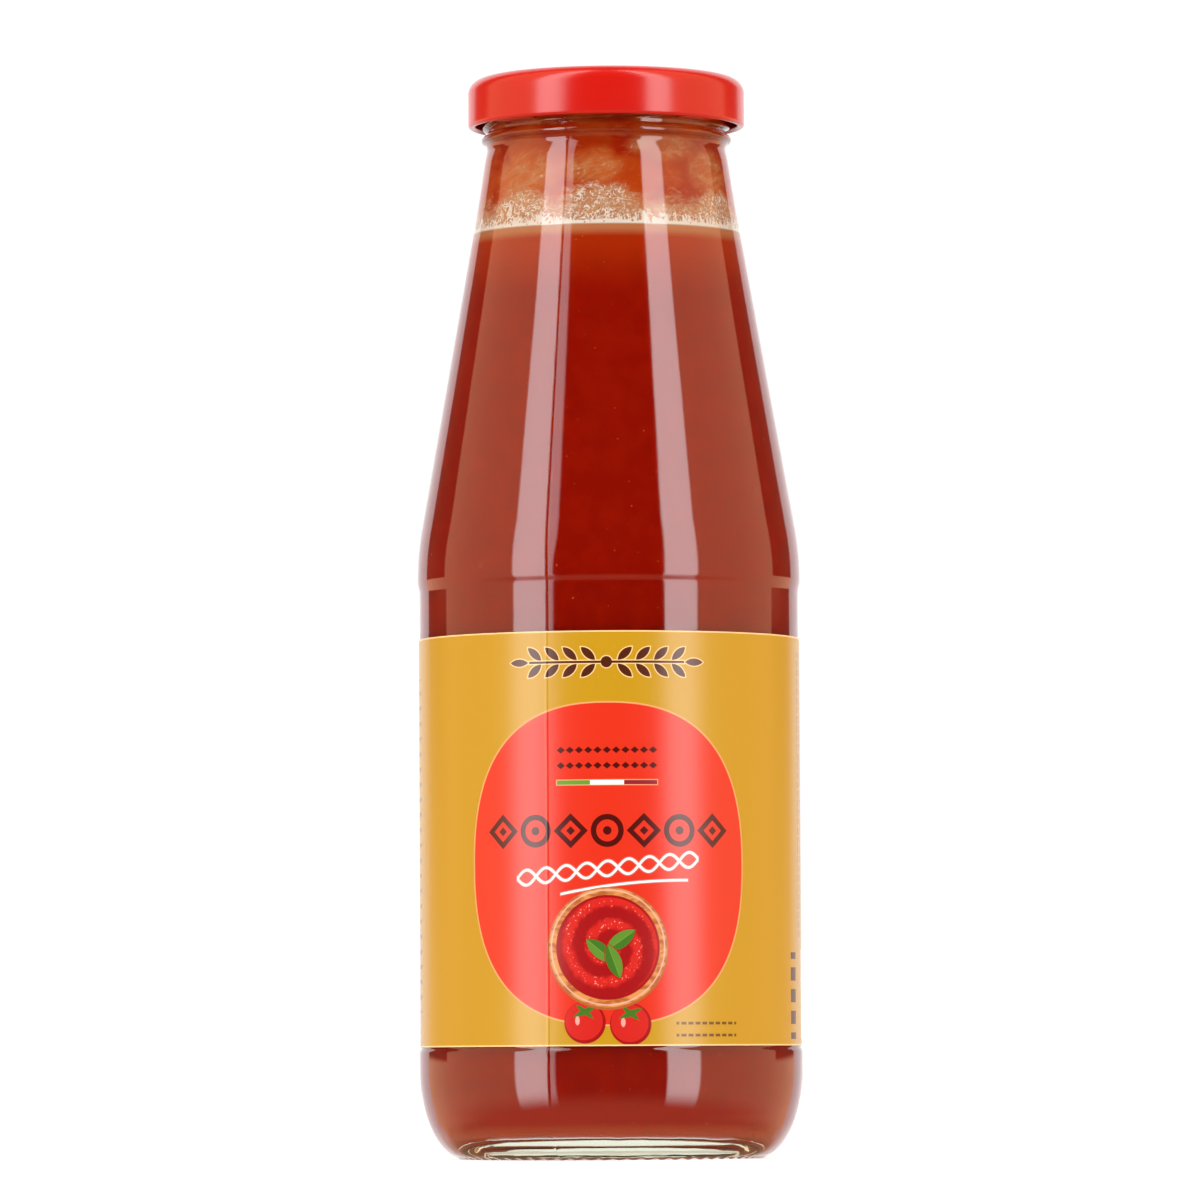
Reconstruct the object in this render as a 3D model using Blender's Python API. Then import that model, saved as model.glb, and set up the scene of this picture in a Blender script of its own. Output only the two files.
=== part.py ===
# A shut 720 ml glass bottle of tomato passata: the bottle, the passata in it,
# the twist-off lid and the wrap-round paper label. Metres, +Z up, with the
# origin at the centre of the base. The front of the label faces -Y.
import math

import bmesh
import bpy
from mathutils import Matrix, Vector

MM = 0.001
SEGMENTS = 48  # facets round every turned piece
SHARP_ANGLE = math.radians(35)
CHAMFER = 0.3 * MM  # small bevels of beads, ramps and lugs

# Bottle, outside
PANEL_RADIUS = 38.60 * MM  # the sunk band that carries the label
HEEL_RING_RADIUS = 39.15 * MM  # widest line above the heel
SHOULDER_RING_RADIUS = 39.20 * MM  # widest line under the shoulder
BEARING_INNER = 27.8 * MM
BEARING_OUTER = 30.8 * MM
PUNT_HEIGHT = 3.6 * MM  # rise of the underside at its centre
PUNT_LIP = Vector((2.2 * MM, 1.2 * MM))  # from the inner edge of the bearing ring to the dome
HEEL_HEIGHT = 18.4 * MM
HEEL_DEPTH = 9.1 * MM  # how far the heel curve reaches inwards
HEEL_START = -74  # where its ellipse leaves the bearing ring, in degrees
HEEL_RING_TOP = 20.2 * MM
PANEL_BOTTOM = 21.4 * MM
PANEL_TOP = 116.0 * MM
SHOULDER_RING_BOTTOM = 118.4 * MM
SHOULDER_BEND = 60.0 * MM  # radius of the bend from the ring into the cone
CONE_LOW = Vector((37.90 * MM, 131.0 * MM))  # radius and height on the cone
CONE_HIGH = Vector((25.05 * MM, 203.0 * MM))
NECK_RADIUS = 24.60 * MM
NECK_LOW = 205.6 * MM
BEAD_RADIUS = 25.70 * MM
BEAD_BOTTOM = 208.0 * MM
BEAD_TOP = 209.6 * MM
FINISH_RADIUS = 24.40 * MM  # plain wall of the mouth, between the thread ramps
RIM_TOP = 220.6 * MM
RIM_ROUND = 1.1 * MM

# Bottle, inside
WALL = 2.5 * MM
SLOPING_WALL = 2.55 * MM  # the same wall measured level, on the cone
FLOOR_EDGE = 5.7 * MM  # height of the inner floor where it meets the heel
FLOOR_CENTRE = 8.4 * MM
FLOOR_RADIUS = 28.0 * MM
FLOOR_START = 22  # where the dome of the floor begins, in degrees
FOOT_HEIGHT = 18.5 * MM  # top of the inner heel curve
BORE_RADIUS = 22.0 * MM

# Thread ramps on the mouth. Each rises from its low end, first gently and then faster.
RAMP_COUNT = 4
RAMP_START = math.radians(-125)  # low end of the one at the front
RAMP_SWEEP = math.radians(88)
RAMP_REACH = 1.0 * MM
RAMP_HALF = 0.55 * MM
RAMP_ROOT = 0.6 * MM  # how deep a ramp is sunk in the wall that carries it
RAMP_LOW = 210.9 * MM
RAMP_RISE = 2.8 * MM
RAMP_STEPS = 12

# Passata
FILL_HEIGHT = 189.5 * MM
FILL_DISH = 0.5 * MM  # how far the middle lies under the edge
FILL_RISE = 2.0 * MM  # width of the rise along the wall
CLEARANCE = 0.3 * MM  # kept between pieces that touch

# Lid
LID_RADIUS = 28.35 * MM
LID_TOP = 221.5 * MM
LID_SHEET = 0.5 * MM
LID_CORNER = Vector((3.5 * MM, 3.1 * MM))  # width and height of its rounded edge
LID_PANEL_RADIUS = 20.8 * MM
LID_PANEL_DROP = 0.55 * MM
BUTTON_RADIUS = 9.0 * MM
BUTTON_DROP = 0.35 * MM
LID_STEP = 0.9 * MM  # run of the slope at each step of the top
CURL_RADIUS = 0.75 * MM
CURL_HEIGHT = 212.15 * MM
CURL_TOP = 1.6 * MM  # how far above its middle the curl meets the skirt

# Lugs, bent inwards from the curl to catch under the high end of the ramps
LUG_START = RAMP_START + math.radians(70)
LUG_SWEEP = math.radians(20)
LUG_INNER = 24.9 * MM
LUG_TOP = 211.8 * MM
LUG_SHEET = 0.4 * MM
LUG_EDGE = 0.1 * MM
LUG_STEPS = 4

# Label
LABEL_BOTTOM = 22.9 * MM
LABEL_HEIGHT = 83.2 * MM
PAPER = 0.15 * MM
LABEL_GAP = 0.2 * MM
LAP_SWEEP = math.radians(14)  # how far the end of the paper lies over its start
LAP_RISE = 0.25 * MM
LAP_RAMP = math.radians(20)
LABEL_STEPS = 66
SEAM_ANGLE = math.radians(90)  # the back, +Y


def clear_scene():
    for obj in list(bpy.data.objects):
        bpy.data.objects.remove(obj, do_unlink=True)


def paint(name, colour, roughness, metallic=0.0, alpha=1.0):
    material = bpy.data.materials.new(name)
    material.use_nodes = True
    shader = material.node_tree.nodes["Principled BSDF"]
    shader.inputs["Base Color"].default_value = (*colour, 1.0)
    shader.inputs["Roughness"].default_value = roughness
    shader.inputs["Metallic"].default_value = metallic
    shader.inputs["Alpha"].default_value = alpha
    material.diffuse_color = (*colour, alpha)
    return material


def arc(centre, across, up, start, end, steps):
    """Points on an ellipse about centre, as (radius, height), with angles in degrees."""
    points = []
    for i in range(steps + 1):
        angle = math.radians(start + (end - start) * i / steps)
        points.append(centre + Vector((across * math.cos(angle), up * math.sin(angle))))
    return points


def bend(corner, before, after, radius, steps):
    """An arc of this radius that rounds the corner between two straight lines."""
    to_before = (before - corner).normalized()
    to_after = (after - corner).normalized()
    half = to_before.angle(to_after) / 2
    middle = corner + (to_before + to_after).normalized() * (radius / math.sin(half))
    first = corner + to_before * (radius / math.tan(half)) - middle
    turn = first.angle_signed(corner + to_after * (radius / math.tan(half)) - middle)
    return [
        middle + Matrix.Rotation(-turn * i / steps, 2) @ first for i in range(steps + 1)
    ]


def cone_radius(height):
    share = (height - CONE_LOW.y) / (CONE_HIGH.y - CONE_LOW.y)
    return CONE_LOW.x + (CONE_HIGH.x - CONE_LOW.x) * share


def cone_height(radius):
    share = (radius - CONE_LOW.x) / (CONE_HIGH.x - CONE_LOW.x)
    return CONE_LOW.y + (CONE_HIGH.y - CONE_LOW.y) * share


def finish_object(name, mesh_data, material):
    mesh = bpy.data.meshes.new(name)
    mesh_data.to_mesh(mesh)
    mesh_data.free()
    mesh.materials.append(material)
    mesh.shade_smooth()
    mesh.set_sharp_from_angle(angle=SHARP_ANGLE)
    obj = bpy.data.objects.new(name, mesh)
    bpy.context.scene.collection.objects.link(obj)
    return obj


def turned(name, outline, material, closed):
    """Spins an outline of (radius, height) points about Z. An open one starts and ends on the axis."""
    data = bmesh.new()
    verts = [data.verts.new((point[0], 0.0, point[1])) for point in outline]
    edges = [data.edges.new(pair) for pair in zip(verts, verts[1:])]
    if closed:
        edges.append(data.edges.new((verts[-1], verts[0])))
    bmesh.ops.spin(
        data,
        geom=verts + edges,
        cent=(0, 0, 0),
        axis=(0, 0, 1),
        angle=math.tau,
        steps=SEGMENTS,
        use_merge=True,
    )
    bmesh.ops.remove_doubles(data, verts=data.verts, dist=1e-6)
    bmesh.ops.recalc_face_normals(data, faces=data.faces)
    return finish_object(name, data, material)


def ridges(name, corners, start, sweep, rise, steps, material):
    """Short ridges round the axis, one a quarter turn: corners is their cross-section."""
    data = bmesh.new()
    for n in range(RAMP_COUNT):
        verts = [data.verts.new((point[0], 0.0, point[1])) for point in corners]
        edges = [data.edges.new((verts[i - 1], verts[i])) for i in range(len(verts))]
        made = bmesh.ops.spin(
            data,
            geom=verts + edges,
            cent=(0, 0, 0),
            axis=(0, 0, 1),
            angle=sweep,
            steps=steps,
        )
        caps = [edge for edge in made["geom_last"] if isinstance(edge, bmesh.types.BMEdge)]
        bmesh.ops.contextual_create(data, geom=edges)
        bmesh.ops.contextual_create(data, geom=caps)
        ridge = [vert for vert in data.verts if vert.tag is False]
        for vert in ridge:
            vert.co.z += rise * (math.atan2(vert.co.y, vert.co.x) / sweep) ** 2
            vert.tag = True
        turn = Matrix.Rotation(start + math.tau * n / RAMP_COUNT, 3, "Z")
        bmesh.ops.rotate(data, verts=ridge, cent=(0, 0, 0), matrix=turn)
    bmesh.ops.recalc_face_normals(data, faces=data.faces)
    obj = finish_object(name, data, material)
    obj.hide_render = True
    obj.display_type = "WIRE"
    return obj


def fuse(target, tool):
    joined = target.modifiers.new("fuse_" + tool.name, "BOOLEAN")
    joined.operation = "UNION"
    joined.solver = "EXACT"
    joined.object = tool


def underside():
    """Punt and bearing ring, from the axis outwards."""
    foot = Vector((0, PUNT_LIP.y))
    dome = arc(foot, BEARING_INNER - PUNT_LIP.x, PUNT_HEIGHT - PUNT_LIP.y, 90, 0, 4)
    return dome + [Vector((BEARING_INNER, 0)), Vector((BEARING_OUTER, 0))]


def heel():
    """Elliptical heel, cut where it reaches the bearing ring."""
    centre = Vector((HEEL_RING_RADIUS - HEEL_DEPTH, HEEL_HEIGHT))
    return arc(centre, HEEL_DEPTH, HEEL_HEIGHT, HEEL_START, 0, 7)


def shoulder():
    corner = Vector((SHOULDER_RING_RADIUS, cone_height(SHOULDER_RING_RADIUS)))
    below = Vector((SHOULDER_RING_RADIUS, PANEL_TOP))
    return bend(corner, below, CONE_HIGH, SHOULDER_BEND, 5)


def outer_outline():
    panel = [
        Vector((HEEL_RING_RADIUS, HEEL_RING_TOP)),
        Vector((PANEL_RADIUS, PANEL_BOTTOM)),
        Vector((PANEL_RADIUS, PANEL_TOP)),
        Vector((SHOULDER_RING_RADIUS, SHOULDER_RING_BOTTOM - CHAMFER)),
    ]
    neck = [
        CONE_HIGH,
        Vector((NECK_RADIUS, NECK_LOW)),
        Vector((NECK_RADIUS, BEAD_BOTTOM - CHAMFER)),
        Vector((BEAD_RADIUS - CHAMFER, BEAD_BOTTOM)),
        Vector((BEAD_RADIUS, (BEAD_BOTTOM + BEAD_TOP) / 2)),
        Vector((BEAD_RADIUS - CHAMFER, BEAD_TOP)),
        Vector((FINISH_RADIUS, BEAD_TOP + CHAMFER)),
    ]
    return underside() + heel() + panel + shoulder() + neck + rim()


def rim():
    """Rounded sealing edge of the mouth, over to the bore."""
    half = (FINISH_RADIUS - BORE_RADIUS) / 2
    centre = Vector((BORE_RADIUS + half, RIM_TOP - RIM_ROUND))
    return arc(centre, half, RIM_ROUND, 0, 180, 6)


def inner_outline(gap=0.0):
    """The wall of the hollow from the neck down to the axis, shrunk by gap."""
    body = PANEL_RADIUS - WALL - gap
    slant = SLOPING_WALL + gap
    lift = math.hypot(1, (CONE_LOW.x - CONE_HIGH.x) / (CONE_HIGH.y - CONE_LOW.y)) * gap
    corner = Vector((body, cone_height(body + slant)))
    low = Vector((body, PANEL_BOTTOM))
    high = Vector((CONE_HIGH.x - slant, CONE_HIGH.y - lift))
    bent = bend(corner, high, low, SHOULDER_BEND, 4)
    centre = Vector((FLOOR_RADIUS, FOOT_HEIGHT))
    foot = arc(centre, body - FLOOR_RADIUS, FOOT_HEIGHT - FLOOR_EDGE - gap, 0, -90, 7)
    middle = Vector((0, FLOOR_EDGE + gap))
    return bent + foot + arc(middle, FLOOR_RADIUS, FLOOR_CENTRE - FLOOR_EDGE, FLOOR_START, 90, 4)


def bottle(material):
    bore = [
        Vector((BORE_RADIUS, NECK_LOW)),
        Vector((CONE_HIGH.x - SLOPING_WALL, CONE_HIGH.y)),
    ]
    outline = outer_outline() + bore + inner_outline()
    outline[0].x = outline[-1].x = 0.0
    body = turned("glass_bottle", outline, material, closed=False)
    inside, outside = FINISH_RADIUS - RAMP_ROOT, FINISH_RADIUS + RAMP_REACH
    flank = RAMP_HALF - CHAMFER
    section = [
        (inside, RAMP_LOW + RAMP_HALF),
        (outside - CHAMFER, RAMP_LOW + RAMP_HALF),
        (outside, RAMP_LOW + flank),
        (outside, RAMP_LOW - flank),
        (outside - CHAMFER, RAMP_LOW - RAMP_HALF),
        (inside, RAMP_LOW - RAMP_HALF),
    ]
    ramps = ridges("ramps", section, RAMP_START, RAMP_SWEEP, RAMP_RISE, RAMP_STEPS, material)
    fuse(body, ramps)
    return body


def passata(material):
    """The filling up to its level, a clearance away from the glass."""
    wall = inner_outline(CLEARANCE)
    top = cone_radius(FILL_HEIGHT) - SLOPING_WALL - CLEARANCE
    surface = [
        Vector((0, FILL_HEIGHT - FILL_DISH)),
        Vector((top - FILL_RISE, FILL_HEIGHT - FILL_DISH)),
        Vector((top, FILL_HEIGHT)),
    ]
    outline = surface + wall
    outline[-1].x = 0.0
    return turned("passata", outline, material, closed=False)


def lid_outside():
    panel = LID_TOP - LID_PANEL_DROP
    corner = Vector((LID_RADIUS, LID_TOP)) - LID_CORNER
    return [
        Vector((0, panel - BUTTON_DROP)),
        Vector((BUTTON_RADIUS, panel - BUTTON_DROP)),
        Vector((BUTTON_RADIUS + LID_STEP, panel)),
        Vector((LID_PANEL_RADIUS, panel)),
        Vector((LID_PANEL_RADIUS + LID_STEP, LID_TOP)),
    ] + arc(corner, LID_CORNER.x, LID_CORNER.y, 90, 0, 5)


def lid_inside():
    panel = LID_TOP - LID_PANEL_DROP - LID_SHEET
    corner = Vector((LID_RADIUS, LID_TOP)) - LID_CORNER
    return arc(corner, LID_CORNER.x - LID_SHEET, LID_CORNER.y - LID_SHEET, 0, 90, 4) + [
        Vector((LID_PANEL_RADIUS + LID_STEP, LID_TOP - LID_SHEET)),
        Vector((LID_PANEL_RADIUS, panel)),
        Vector((BUTTON_RADIUS + LID_STEP, panel)),
        Vector((BUTTON_RADIUS, panel - BUTTON_DROP)),
        Vector((0, panel - BUTTON_DROP)),
    ]


def lid(material):
    """Drawn steel cap: rounded top edge, plain skirt and an inward curl with four lugs."""
    roll = Vector((LID_RADIUS - CURL_RADIUS, CURL_HEIGHT))
    curl = arc(roll, CURL_RADIUS, CURL_RADIUS, 0, -225, 8)
    seat = [Vector((LID_RADIUS - LID_SHEET, CURL_HEIGHT + CURL_TOP))]
    outline = lid_outside() + curl + seat + lid_inside()
    cap = turned("lid", outline, material, closed=False)
    low = LUG_TOP - LUG_SHEET
    section = [
        (roll.x, LUG_TOP),
        (LUG_INNER + CHAMFER, LUG_TOP),
        (LUG_INNER, LUG_TOP - LUG_EDGE),
        (LUG_INNER, low + LUG_EDGE),
        (LUG_INNER + CHAMFER, low),
        (roll.x, low),
    ]
    lugs = ridges("lugs", section, LUG_START, LUG_SWEEP, 0.0, LUG_STEPS, material)
    fuse(cap, lugs)
    return cap


def label_radius(turn, whole):
    """Inner radius of the paper at this turn from its start. Its last stretch climbs over the start."""
    climb = (turn - (whole - LAP_SWEEP - LAP_RAMP)) / LAP_RAMP
    climb = min(max(climb, 0.0), 1.0)
    return PANEL_RADIUS + LABEL_GAP + LAP_RISE * climb * climb * (3 - 2 * climb)


def label(material):
    """One strip of paper wrapped round the panel, with a lap seam at the back."""
    whole = math.tau + LAP_SWEEP
    data = bmesh.new()
    bmesh.ops.create_grid(data, x_segments=LABEL_STEPS, y_segments=1, size=0.5)
    for vert in data.verts:
        turn = (vert.co.x + 0.5) * whole
        radius = label_radius(turn, whole)
        height = LABEL_BOTTOM + (vert.co.y + 0.5) * LABEL_HEIGHT
        angle = SEAM_ANGLE + turn
        vert.co = (radius * math.cos(angle), radius * math.sin(angle), height)
    bmesh.ops.recalc_face_normals(data, faces=data.faces)
    paper = finish_object("label", data, material)
    thick = paper.modifiers.new("paper", "SOLIDIFY")
    thick.thickness = PAPER
    thick.offset = 1.0
    return paper


def main():
    clear_scene()
    bottle(paint("clear_glass", (0.86, 0.92, 0.86), 0.03, alpha=0.35))
    passata(paint("tomato_passata", (0.52, 0.03, 0.004), 0.35))
    lid(paint("red_lacquer", (0.80, 0.015, 0.008), 0.22))
    label(paint("yellow_paper", (0.78, 0.36, 0.02), 0.45))


main()
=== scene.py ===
import math
import random

import bmesh
import bpy
from mathutils import Matrix, Vector


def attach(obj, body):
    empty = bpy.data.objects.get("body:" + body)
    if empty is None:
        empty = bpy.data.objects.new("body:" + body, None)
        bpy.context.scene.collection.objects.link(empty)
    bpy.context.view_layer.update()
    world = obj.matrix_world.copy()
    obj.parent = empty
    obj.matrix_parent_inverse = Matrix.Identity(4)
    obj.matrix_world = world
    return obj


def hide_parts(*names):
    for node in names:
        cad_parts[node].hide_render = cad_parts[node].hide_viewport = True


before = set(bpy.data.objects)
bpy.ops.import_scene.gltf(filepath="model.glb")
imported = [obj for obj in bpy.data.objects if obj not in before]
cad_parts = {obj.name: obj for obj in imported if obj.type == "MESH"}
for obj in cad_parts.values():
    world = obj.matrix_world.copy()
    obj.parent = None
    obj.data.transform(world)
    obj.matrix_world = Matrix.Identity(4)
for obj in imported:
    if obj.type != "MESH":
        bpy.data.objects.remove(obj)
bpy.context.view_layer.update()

mm = 0.001
scene = bpy.context.scene
print("frame loaded:", sorted(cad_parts))


# Shader maths as Python expressions

class Wire:
    # wraps a number socket, so that + - * / on it add Math nodes
    def __init__(self, finish, socket):
        self.finish = finish
        self.socket = socket

    def do(self, operation, *values, clamp=False):
        settings = {"operation": operation, "use_clamp": clamp}
        made = self.finish.node("ShaderNodeMath", settings, dict(enumerate(values)))
        return Wire(self.finish, made.outputs[0])

    def __add__(self, other):
        return self.do("ADD", self, other)

    def __sub__(self, other):
        return self.do("SUBTRACT", self, other)

    def __mul__(self, other):
        return self.do("MULTIPLY", self, other)

    def __truediv__(self, other):
        return self.do("DIVIDE", self, other)

    def __pow__(self, other):
        return self.do("POWER", self, other)

    def __rsub__(self, other):
        return self.do("SUBTRACT", other, self)

    def __rtruediv__(self, other):
        return self.do("DIVIDE", other, self)

    def __neg__(self):
        return self * -1.0

    def __abs__(self):
        return self.do("ABSOLUTE", self)

    __radd__ = __add__
    __rmul__ = __mul__

    def clamp(self):
        return self.do("ADD", self, 0.0, clamp=True)

    def smaller(self, other):
        return self.do("MINIMUM", self, other)

    def larger(self, other):
        return self.do("MAXIMUM", self, other)

    def sine(self):
        return self.do("SINE", self)

    def cosine(self):
        return self.do("COSINE", self)

    def root(self):
        return self.do("SQRT", self)

    def repeat(self, pitch):
        # distance from the middle of the cell it falls in
        return self.do("WRAP", self, pitch / 2, -pitch / 2)

    def step(self, low, high):
        # 0 below low, 1 above high, smooth in between; low may be the larger one
        slots = {"Value": self, "From Min": low, "From Max": high, "To Min": 0.0, "To Max": 1.0}
        made = self.finish.node("ShaderNodeMapRange", {"interpolation_type": "SMOOTHSTEP"}, slots)
        return Wire(self.finish, made.outputs["Result"])


class Finish:
    # one material or world, and the only place that makes its nodes
    def __init__(self, name, owner=None):
        self.owner = owner or bpy.data.materials.new(name)
        self.owner.use_nodes = True
        self.tree = self.owner.node_tree
        self.tree.nodes.clear()

    def node(self, kind, settings=None, sockets=None):
        made = self.tree.nodes.new(kind)
        for key, value in (settings or {}).items():
            setattr(made, key, value)
        for key, value in (sockets or {}).items():
            self.join(value, made.inputs[key])
        return made

    def join(self, value, slot):
        if isinstance(value, Wire):
            value = value.socket
        if isinstance(value, bpy.types.NodeSocket):
            self.tree.links.new(value, slot)
        elif slot.type == "RGBA" and len(value) == 3:
            slot.default_value = (*value, 1.0)
        else:
            slot.default_value = value

    def place(self):
        # object coordinates in millimetres, as three wires
        where = self.node("ShaderNodeTexCoord").outputs["Object"]
        split = self.node("ShaderNodeSeparateXYZ", None, {0: where})
        return [Wire(self, out) * (1 / mm) for out in split.outputs]

    def vector(self, x, y, z):
        return self.node("ShaderNodeCombineXYZ", None, {0: x, 1: y, 2: z}).outputs[0]

    def noise(self, scale, detail=3.0, stretch=(1, 1, 1), rough=0.5, warp=0.0, shift=0.0, where=None):
        # 0 to 1; scale is in cycles for each millimetre, and where is a vector in millimetres
        unit = mm if where is None else 1.0
        where = where or self.node("ShaderNodeTexCoord").outputs["Object"]
        size = tuple(scale / unit * part for part in stretch)
        mapping = {"Vector": where, "Scale": size, "Location": (shift, shift, shift)}
        moved = self.node("ShaderNodeMapping", None, mapping).outputs[0]
        slots = {"Vector": moved, "Scale": 1.0, "Detail": detail, "Roughness": rough, "Distortion": warp}
        return Wire(self, self.node("ShaderNodeTexNoise", None, slots).outputs[0])

    def mix(self, share, first, second):
        slots = {0: share, 6: first, 7: second}
        settings = {"data_type": "RGBA", "clamp_factor": True}
        return self.node("ShaderNodeMix", settings, slots).outputs[2]

    def bump(self, height, depth, normal=None):
        # height is 0 to 1 and depth is in millimetres
        slots = {"Height": height, "Strength": 1.0, "Distance": depth * mm}
        if normal is not None:
            slots["Normal"] = normal
        return self.node("ShaderNodeBump", None, slots).outputs[0]

    def surface(self, sockets):
        return self.node("ShaderNodeBsdfPrincipled", None, sockets).outputs[0]

    def end(self, surface, volume=None):
        slots = {"Surface": surface}
        if volume is not None:
            slots["Volume"] = volume
        self.node("ShaderNodeOutputMaterial", None, slots)
        return self.owner


# Outlines and turning

def point(radius, height):
    return Vector((radius * mm, height * mm))


def point3(radius, height):
    return Vector((radius * mm, 0.0, height * mm))


def arc(centre, across, up, start, end, steps):
    turns = [math.radians(start + (end - start) * i / steps) for i in range(steps + 1)]
    return [centre + Vector((across * math.cos(t), up * math.sin(t))) * mm for t in turns]


def bend(corner, before, after, radius, steps):
    # rounds the corner between two straight lines
    back = (before - corner).normalized()
    on = (after - corner).normalized()
    half = back.angle(on) / 2
    middle = corner + (back + on).normalized() * (radius * mm / math.sin(half))
    reach = radius * mm / math.tan(half)
    first = corner + back * reach - middle
    turn = first.angle_signed(corner + on * reach - middle)
    return [middle + Matrix.Rotation(-turn * i / steps, 2) @ first for i in range(steps + 1)]


def ease(start, end, steps, flat=False):
    # an S-curve that leaves and arrives upright, or level where it is flat
    line = []
    for share in [i / steps for i in range(steps + 1)]:
        eased = (1 - math.cos(math.pi * share)) / 2
        across, along = (share, eased) if flat else (eased, share)
        line.append(Vector((start.x + (end.x - start.x) * across, start.y + (end.y - start.y) * along)))
    return line


def turnOutline(data, outline, steps, closed=False):
    verts = [data.verts.new(Vector((p.x, 0.0, p.y))) for p in outline]
    edges = [data.edges.new(pair) for pair in zip(verts, verts[1:])]
    if closed:
        edges.append(data.edges.new((verts[-1], verts[0])))
    bmesh.ops.spin(data, geom=verts + edges, cent=(0, 0, 0), axis=(0, 0, 1),
                   angle=math.tau, steps=steps, use_merge=True)
    bmesh.ops.remove_doubles(data, verts=data.verts, dist=1e-6)
    bmesh.ops.recalc_face_normals(data, faces=data.faces)


def sweepFace(data, corners, degrees, steps):
    # a closed bar with this cross-section, bent round the axis
    verts = [data.verts.new(corner) for corner in corners]
    face = data.faces.new(verts)
    bmesh.ops.spin(data, geom=[face, *face.edges, *verts], cent=(0, 0, 0), axis=(0, 0, 1),
                   angle=math.radians(degrees), steps=steps)
    bmesh.ops.recalc_face_normals(data, faces=data.faces)


def finishPiece(name, data, material, replaced=(), sharp=40):
    mesh = bpy.data.meshes.new(name)
    data.to_mesh(mesh)
    data.free()
    mesh.materials.append(material)
    mesh.shade_smooth()
    mesh.set_sharp_from_angle(angle=math.radians(sharp))
    piece = bpy.data.objects.new(name, mesh)
    scene.collection.objects.link(piece)
    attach(piece, "root")
    if replaced:
        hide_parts(*replaced)
    print(name, "made,", len(mesh.polygons), "faces")
    return piece


# Camera, as the photo was taken: low, far away and looking a little up

camera = {
    "distance": 1748, "height": 17.98, "side": 1.8,
    "pitch": 3.155, "roll": -0.31, "lens": 256.2, "sensor": 36, "farEnd": 100,
}


def makeCamera():
    data = bpy.data.cameras.new("camera")
    data.lens = camera["lens"]
    data.sensor_width = camera["sensor"]
    data.clip_end = camera["farEnd"]
    made = bpy.data.objects.new("camera", data)
    made.location = (-camera["side"] * mm, -camera["distance"] * mm, camera["height"] * mm)
    upright = Matrix.Rotation(math.radians(90 + camera["pitch"]), 4, "X")
    roll = Matrix.Rotation(math.radians(camera["roll"]), 4, "Z")
    made.rotation_euler = (upright @ roll).to_euler()
    scene.collection.objects.link(made)
    scene.camera = made


makeCamera()


# Studio: a dark room with two upright softboxes, dim side panels and a white backdrop

studio = {  # turns and heights in degrees, the floor in metres
    "stripLight": 6.5, "stripLeft": (34, 60), "stripRight": (34, 55), "stripTop": 82,
    "stripLean": 2.0, "leanFrom": (4, 18), "stripFade": (36, 42), "stripFoot": 0.5, "topSoft": 4,
    "panelLight": 1.40, "panelEnd": 117, "warmColour": (1.14, 0.73, 0.43),
    "gapLight": 0.16, "gapEnd": 143, "gapFoot": (0.8, 2.2),
    "backLight": 1.2, "backTop": 58, "backSoft": 8, "backdrop": 1.05,
    "frontLight": 0.02, "topLight": 0.12,
    "lowEdge": -19.5, "lowSoft": 7, "lowLight": 0.62,
    "softEdge": 1.2,
    "floorSize": 12.0, "floorColour": (0.35, 0.35, 0.35), "floorGlow": 0.62, "floorLift": 0.15,
}


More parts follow.
